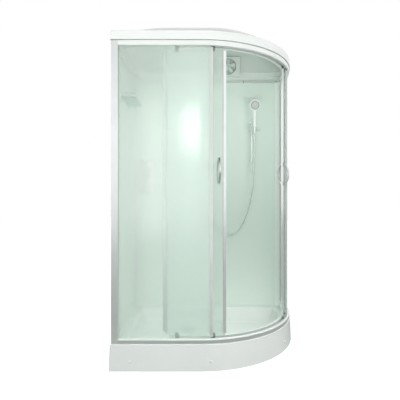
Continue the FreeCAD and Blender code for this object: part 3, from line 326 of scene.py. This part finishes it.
def make_world():
    """White where it is seen, in glass and metal too, with a dark ceiling for metal that faces up.

    As light it is weaker from straight above."""
    world = bpy.data.worlds.new("studio")
    bpy.context.scene.world = world
    world.use_nodes = True
    tree = world.node_tree
    background = tree.nodes["Background"]
    background.inputs["Color"].default_value = WHITE
    path = tree.nodes.new("ShaderNodeLightPath")
    plain = math_node(tree, "MAXIMUM", path.outputs["Is Camera Ray"], path.outputs["Is Transmission Ray"])
    shown = math_node(tree, "MAXIMUM", plain, path.outputs["Is Glossy Ray"])
    lighting = math_node(tree, "GREATER_THAN", path.outputs["Diffuse Depth"], BOUNCED_DEPTH)
    seen = math_node(tree, "MULTIPLY", shown, math_node(tree, "SUBTRACT", 1.0, lighting))
    up = split_axes(tree, "Generated")["Z"]
    mirrored = math_node(tree, "MAXIMUM", plain, map_range(tree, up, DARK_SPAN, (1.0, DARK_TOP)))
    light = map_range(tree, up, HORIZON_TO_TOP, (WORLD_LIGHT, WORLD_TOP_LIGHT))
    lit = math_node(tree, "MULTIPLY", light, math_node(tree, "SUBTRACT", 1.0, seen))
    strength = math_node(tree, "ADD", math_node(tree, "MULTIPLY", seen, mirrored), lit)
    tree.links.new(strength, background.inputs["Strength"])


def make_lamps():
    for name, place, target, size, watts, spread, shows in LAMPS:
        data = bpy.data.lights.new(name, "AREA")
        data.shape = "RECTANGLE"
        data.size, data.size_y = size
        data.energy = watts
        data.spread = math.radians(spread)
        lamp = add_object(name, data)
        lamp.location = place
        aim = Vector(target) - Vector(place)
        lamp.rotation_euler = aim.to_track_quat("-Z", "Y").to_euler()
        lamp.visible_camera = False
        lamp.visible_glossy = shows
        lamp.visible_transmission = shows


def make_floor():
    """A grey floor that looks nearly white to the camera and keeps the shadow."""
    mesh = bpy.data.meshes.new("floor")
    h = FLOOR_HALF
    mesh.from_pydata([(-h, -h, 0), (h, -h, 0), (h, h, 0), (-h, h, 0)], [], [(0, 1, 2, 3)])
    floor = add_object("floor", mesh)
    material, tree, shader = new_material("floor", FLOOR_COLOUR, FLOOR_ROUGHNESS)
    set_inputs(shader, {"Specular IOR Level": FLOOR_SPECULAR, "Emission Color": WHITE})
    path = tree.nodes.new("ShaderNodeLightPath")
    glow = math_node(tree, "MULTIPLY", path.outputs["Is Camera Ray"], FLOOR_GLOW)
    tree.links.new(glow, shader.inputs["Emission Strength"])
    mesh.materials.append(material)


# Materials

NOISE_SPAN = (0.3, 0.7)
MOULDED_SWING = 0.06
RAIL_METALLIC = 0.75
# Painted light: a pale, non-metal colour inside the bottom rail's track, which would otherwise lie in shade.
TRACK_PAINTED_LIGHT = srgb(232, 238, 235)
TRACK_LIGHT_INSET = 0.02
# Painted shade: the roof's faces that look down get a greyer colour, so that the ceiling reads darker.
ROOF_PAINTED_SHADE = srgb(213, 219, 215)
ROOF_SHADE_BELOW = -0.2


def new_material(name, colour, roughness, metallic=0.0):
    """A new material, with its node tree and its shader."""
    material = bpy.data.materials.new(name)
    material.use_nodes = True
    tree = material.node_tree
    shader = tree.nodes["Principled BSDF"]
    set_inputs(shader, {"Base Color": colour, "Roughness": roughness, "Metallic": metallic})
    return material, tree, shader


def object_noise(tree, scale, detail=3.0, stretch=(1.0, 1.0, 1.0)):
    """Noise in the object's own metres, stretched along an axis where the finish has a grain."""
    where = tree.nodes.new("ShaderNodeTexCoord")
    mapping = tree.nodes.new("ShaderNodeMapping")
    mapping.inputs["Scale"].default_value = stretch
    tree.links.new(where.outputs["Object"], mapping.inputs["Vector"])
    noise = tree.nodes.new("ShaderNodeTexNoise")
    set_inputs(noise, {"Scale": scale, "Detail": detail})
    tree.links.new(mapping.outputs["Vector"], noise.inputs["Vector"])
    return noise


def vary_roughness(tree, shader, noise, low, high):
    """Lets the roughness wander between two values."""
    wander = map_range(tree, noise.outputs["Fac"], NOISE_SPAN, (low, high))
    tree.links.new(wander, shader.inputs["Roughness"])


def vary_colour(tree, shader, noise, dark, light):
    """Lets the base colour wander between two shades."""
    ramp = tree.nodes.new("ShaderNodeValToRGB")
    for element, position, colour in zip(ramp.color_ramp.elements, NOISE_SPAN, (dark, light)):
        element.position = position
        element.color = colour
    tree.links.new(noise.outputs["Fac"], ramp.inputs["Fac"])
    tree.links.new(ramp.outputs["Color"], shader.inputs["Base Color"])


def add_bump(tree, shader, noise, strength, distance):
    """Gives the surface the relief of a texture."""
    bump = tree.nodes.new("ShaderNodeBump")
    set_inputs(bump, {"Strength": strength, "Distance": distance})
    tree.links.new(noise.outputs["Fac"], bump.inputs["Height"])
    tree.links.new(bump.outputs["Normal"], shader.inputs["Normal"])


def lay_colour(tree, shader, mask, colour):
    """Lays a colour over the varied base colour where the mask is 1."""
    base = shader.inputs["Base Color"].links[0].from_socket
    layer = tree.nodes.new("ShaderNodeMixRGB")
    layer.inputs["Color2"].default_value = colour
    tree.links.new(mask, layer.inputs["Fac"])
    tree.links.new(base, layer.inputs["Color1"])
    tree.links.new(layer.outputs["Color"], shader.inputs["Base Color"])


def acrylic(name):
    material, tree, shader = new_material(name, srgb(236, 239, 237), roughness=0.25)
    vary_colour(tree, shader, object_noise(tree, scale=3.0), srgb(232, 236, 234), srgb(238, 241, 239))
    vary_roughness(tree, shader, object_noise(tree, scale=8.0), low=0.19, high=0.25)
    set_inputs(shader, {"Coat Weight": 0.3, "Coat Roughness": 0.08})
    return material


def roof_acrylic():
    """White acrylic outside, and painted shade on the faces that look down: a greyer colour, so that the
    ceiling reads darker.
    """
    material = acrylic("roof_acrylic")
    tree = material.node_tree
    facing_down = math_node(tree, "LESS_THAN", split_axes(tree, "Normal")["Z"], ROOF_SHADE_BELOW)
    lay_colour(tree, tree.nodes["Principled BSDF"], facing_down, ROOF_PAINTED_SHADE)
    return material


def wall_panel():
    material, tree, shader = new_material("wall_panel", srgb(230, 240, 233), roughness=0.3)
    clouds = object_noise(tree, scale=1.4, detail=1.0)
    vary_colour(tree, shader, clouds, srgb(230, 238, 232), srgb(232, 240, 234))
    vary_roughness(tree, shader, object_noise(tree, scale=5.0), low=0.29, high=0.33)
    return material


def let_light_through(material, tint):
    """Panes pass light straight on to what they stand before, and keep their look where they are seen."""
    tree = material.node_tree
    shader = tree.nodes["Principled BSDF"]
    output = tree.nodes["Material Output"]
    clear = tree.nodes.new("ShaderNodeBsdfTransparent")
    clear.inputs["Color"].default_value = tint
    path = tree.nodes.new("ShaderNodeLightPath")
    passing = math_node(tree, "MAXIMUM", path.outputs["Is Shadow Ray"], path.outputs["Is Diffuse Ray"])
    choice = tree.nodes.new("ShaderNodeMixShader")
    tree.links.new(passing, choice.inputs["Fac"])
    tree.links.new(shader.outputs["BSDF"], choice.inputs[1])
    tree.links.new(clear.outputs["BSDF"], choice.inputs[2])
    tree.links.new(choice.outputs["Shader"], output.inputs["Surface"])


def frosted_glass(name, colour):
    """Etched glass with a smoother outer face."""
    material, tree, shader = new_material(name, colour, roughness=0.25)
    set_inputs(shader, {"Transmission Weight": 0.85, "IOR": 1.2,
                        "Coat Weight": 1.0, "Coat Roughness": 0.18, "Coat IOR": 1.5})
    vary_roughness(tree, shader, object_noise(tree, scale=700.0, detail=2.0), low=0.23, high=0.26)
    let_light_through(material, tint=srgb(246, 253, 249))
    return material


def clear_glass():
    material, tree, shader = new_material("clear_glass", srgb(178, 222, 202), roughness=0.03)
    set_inputs(shader, {"Transmission Weight": 1.0, "IOR": 1.5})
    vary_roughness(tree, shader, object_noise(tree, scale=30.0), low=0.02, high=0.05)
    let_light_through(material, tint=srgb(225, 243, 234))
    return material


def satin_alloy(name, metallic, dark=srgb(236, 239, 237), light=srgb(240, 243, 241)):
    material, tree, shader = new_material(name, dark, roughness=0.3, metallic=metallic)
    vary_roughness(tree, shader, object_noise(tree, scale=6.0), low=0.28, high=0.32)
    vary_colour(tree, shader, object_noise(tree, scale=8.0), dark, light)
    return material


def track_alloy():
    """Satin alloy on the rail's front lip, and painted light inside the track behind it: a pale, non-metal
    colour where the track lies in shade.
    """
    material = satin_alloy("track_alloy", RAIL_METALLIC, srgb(210, 215, 212), srgb(216, 221, 218))
    tree = material.node_tree
    shader = tree.nodes["Principled BSDF"]
    axes = split_axes(tree, "Object")
    across = math_node(tree, "SUBTRACT", axes["X"], ARC_CENTRE[0])
    along = math_node(tree, "SUBTRACT", axes["Y"], ARC_CENTRE[1])
    across = math_node(tree, "MAXIMUM", across, 0.0)
    along = math_node(tree, "MINIMUM", along, 0.0)
    across_squared = math_node(tree, "POWER", across, 2.0)
    along_squared = math_node(tree, "MULTIPLY", along, along)
    from_centre = math_node(tree, "ADD", across_squared, along_squared)
    inside = math_node(tree, "LESS_THAN", from_centre, (ARC_R - TRACK_LIGHT_INSET) ** 2)
    on_front_lip = math_node(tree, "SUBTRACT", 1.0, inside)
    tree.links.new(math_node(tree, "MULTIPLY", on_front_lip, RAIL_METALLIC), shader.inputs["Metallic"])
    lay_colour(tree, shader, inside, TRACK_PAINTED_LIGHT)
    return material


def chrome(name, colour):
    material, tree, shader = new_material(name, colour, roughness=0.08, metallic=1.0)
    vary_roughness(tree, shader, object_noise(tree, scale=20.0), low=0.06, high=0.1)
    return material


def milky_strip(name, dark, light):
    """Drawn plastic with a fine grain along its length."""
    material, tree, shader = new_material(name, dark, roughness=0.34)
    vary_colour(tree, shader, object_noise(tree, scale=12.0), dark, light)
    grain = object_noise(tree, scale=150.0, detail=2.0, stretch=(1.0, 1.0, 0.05))
    vary_roughness(tree, shader, grain, low=0.29, high=0.38)
    return material


def polished_strip():
    material, tree, shader = new_material("polished_strip", srgb(240, 242, 241),
                                          roughness=0.22, metallic=0.85)
    vary_colour(tree, shader, object_noise(tree, scale=12.0), srgb(236, 239, 238), srgb(243, 245, 244))
    vary_roughness(tree, shader, object_noise(tree, scale=6.0), low=0.2, high=0.24)
    return material


def white_gloss(name, metallic):
    """Bright plating on the riser, and the white gloss of the hand shower, the upper rail's trim and the
    lower rail's painted highlight strip.
    """
    material, tree, shader = new_material(name, srgb(248, 250, 249), roughness=0.16, metallic=metallic)
    vary_roughness(tree, shader, object_noise(tree, scale=20.0), low=0.14, high=0.18)
    return material


def moulded(name, colour, roughness):
    """Moulded plastic with a fine texture."""
    material, tree, shader = new_material(name, colour, roughness)
    add_bump(tree, shader, object_noise(tree, scale=1200.0), strength=0.15, distance=0.0002)
    low, high = roughness - MOULDED_SWING, roughness + MOULDED_SWING
    vary_roughness(tree, shader, object_noise(tree, scale=90.0), low, high)
    return material


def silver_sheath():
    """A hose wound of bright strip, with a fine ridge at every turn."""
    material, tree, shader = new_material("silver_sheath", srgb(240, 243, 241), roughness=0.2, metallic=1.0)
    where = tree.nodes.new("ShaderNodeTexCoord")
    ridges = tree.nodes.new("ShaderNodeTexWave")
    ridges.bands_direction = "Z"
    set_inputs(ridges, {"Scale": HOSE_RIDGE_SCALE, "Distortion": 0.0})
    tree.links.new(where.outputs["Object"], ridges.inputs["Vector"])
    add_bump(tree, shader, ridges, strength=0.25, distance=0.0004)
    vary_roughness(tree, shader, object_noise(tree, scale=40.0), low=0.16, high=0.24)
    return material


def galvanised():
    material, tree, shader = new_material("zinc_steel", srgb(150, 154, 156), roughness=0.45, metallic=0.8)
    vary_colour(tree, shader, object_noise(tree, scale=60.0), srgb(135, 140, 142), srgb(166, 170, 172))
    vary_roughness(tree, shader, object_noise(tree, scale=45.0), low=0.35, high=0.55)
    return material


# Materials by slot, then those of single nodes

MATERIALS = {
    "acrylic_white": acrylic("white_acrylic"),
    "wall_green": wall_panel(),
    "frosted_glass": frosted_glass("frosted_glass", srgb(247, 251, 249)),
    "shelf_glass": clear_glass(),
    "satin_alloy": satin_alloy("satin_alloy", metallic=0.75),
    "chrome": chrome("chrome", srgb(228, 231, 230)),
    "strip_plastic": milky_strip("milky_strip", srgb(210, 217, 213), srgb(218, 224, 221)),
    "grey_plastic": moulded("grey_plastic", srgb(116, 130, 122), roughness=0.45),
    "nylon": moulded("nylon", srgb(120, 129, 124), roughness=0.45),
    "steel": galvanised(),
    "foot_rubber": moulded("foot_rubber", srgb(48, 48, 48), roughness=0.7),
    "waste_plastic": moulded("waste_plastic", srgb(205, 206, 204), roughness=0.5),
    "fan_plastic": moulded("fan_plastic", srgb(219, 225, 221), roughness=0.36),
    "hose_pvc": silver_sheath(),
}
POLISHED = polished_strip()
PLATING = white_gloss("bright_plating", metallic=1.0)
WHITE_GLOSS = white_gloss("white_gloss", metallic=0.0)
PALE_ALLOY = satin_alloy("pale_alloy", metallic=0.3)
# Painted shade: a greyer copy of the frame alloy on the left post, for the darker reflection it shows.
LEFT_POST_SHADED_ALLOY = satin_alloy("left_post_shaded_alloy", 0.75, srgb(220, 224, 222), srgb(226, 230, 228))
# Painted shade: a darker copy of the chrome on the handles, for the dark reflections on their ends.
SHADED_HANDLE_CHROME = chrome("handle_chrome_painted_shade", srgb(218, 223, 220))
DOOR_GLASS = frosted_glass("door_glass", srgb(233, 239, 236))
SPRAY_GREY = moulded("spray_grey", srgb(62, 70, 66), roughness=0.45)
SEAL_GREY = milky_strip("seal_grey", srgb(178, 186, 182), srgb(186, 194, 190))
NODE_MATERIALS = {
    "top_rail": PALE_ALLOY,
    # Painted light: a whiter, almost non-metal copy of the frame alloy on the right post, so that its edge
    # reads light.
    "right_post": satin_alloy("right_post_painted_light_alloy", 0.05, srgb(246, 249, 247), srgb(248, 250, 249)),
    "fixed_glass_strips": milky_strip("grey_strip", srgb(194, 200, 197), srgb(202, 208, 205)),
    "roof_shell": roof_acrylic(),
    "wall_top_channels": satin_alloy("channel_alloy", 0.3, srgb(219, 223, 221), srgb(225, 229, 227)),
    "left_outer_handle": SHADED_HANDLE_CHROME,
    "left_inner_handle": SHADED_HANDLE_CHROME,
    "right_outer_handle": SHADED_HANDLE_CHROME,
    "right_inner_handle": SHADED_HANDLE_CHROME,
    "left_door_glass": DOOR_GLASS,
    "right_door_glass": DOOR_GLASS,
    "left_magnet_strip": POLISHED,
    "right_magnet_strip": POLISHED,
    "left_post": LEFT_POST_SHADED_ALLOY,
    "left_seal_strip": SEAL_GREY,
    "right_seal_strip": SEAL_GREY,
    "bottom_rail": track_alloy(),
    "hand_shower": WHITE_GLOSS,
    "hose_nut": WHITE_GLOSS,
    "riser_rail": PLATING,
    "riser_brackets": PLATING,
    "shower_slider": PLATING,
    "shower_holder": PLATING,
    "spray_face": moulded("spray_plastic", srgb(206, 213, 209), roughness=0.4),
}


def dress_nodes():
    """Each CAD node gets the material of its slot, or one of its own."""
    for part in frame["record"]["subparts"]:
        name = part["node"]
        node = NODES[name]
        node.data.materials.clear()
        node.data.materials.append(NODE_MATERIALS.get(name) or MATERIALS[part["material_slot"]])


make_camera()
make_hose()
make_rail_trim_and_highlight()
make_spray_nozzles()
make_cap_domes()
make_world()
make_lamps()
make_floor()
dress_nodes()
bpy.context.scene.view_settings.view_transform = "Standard"
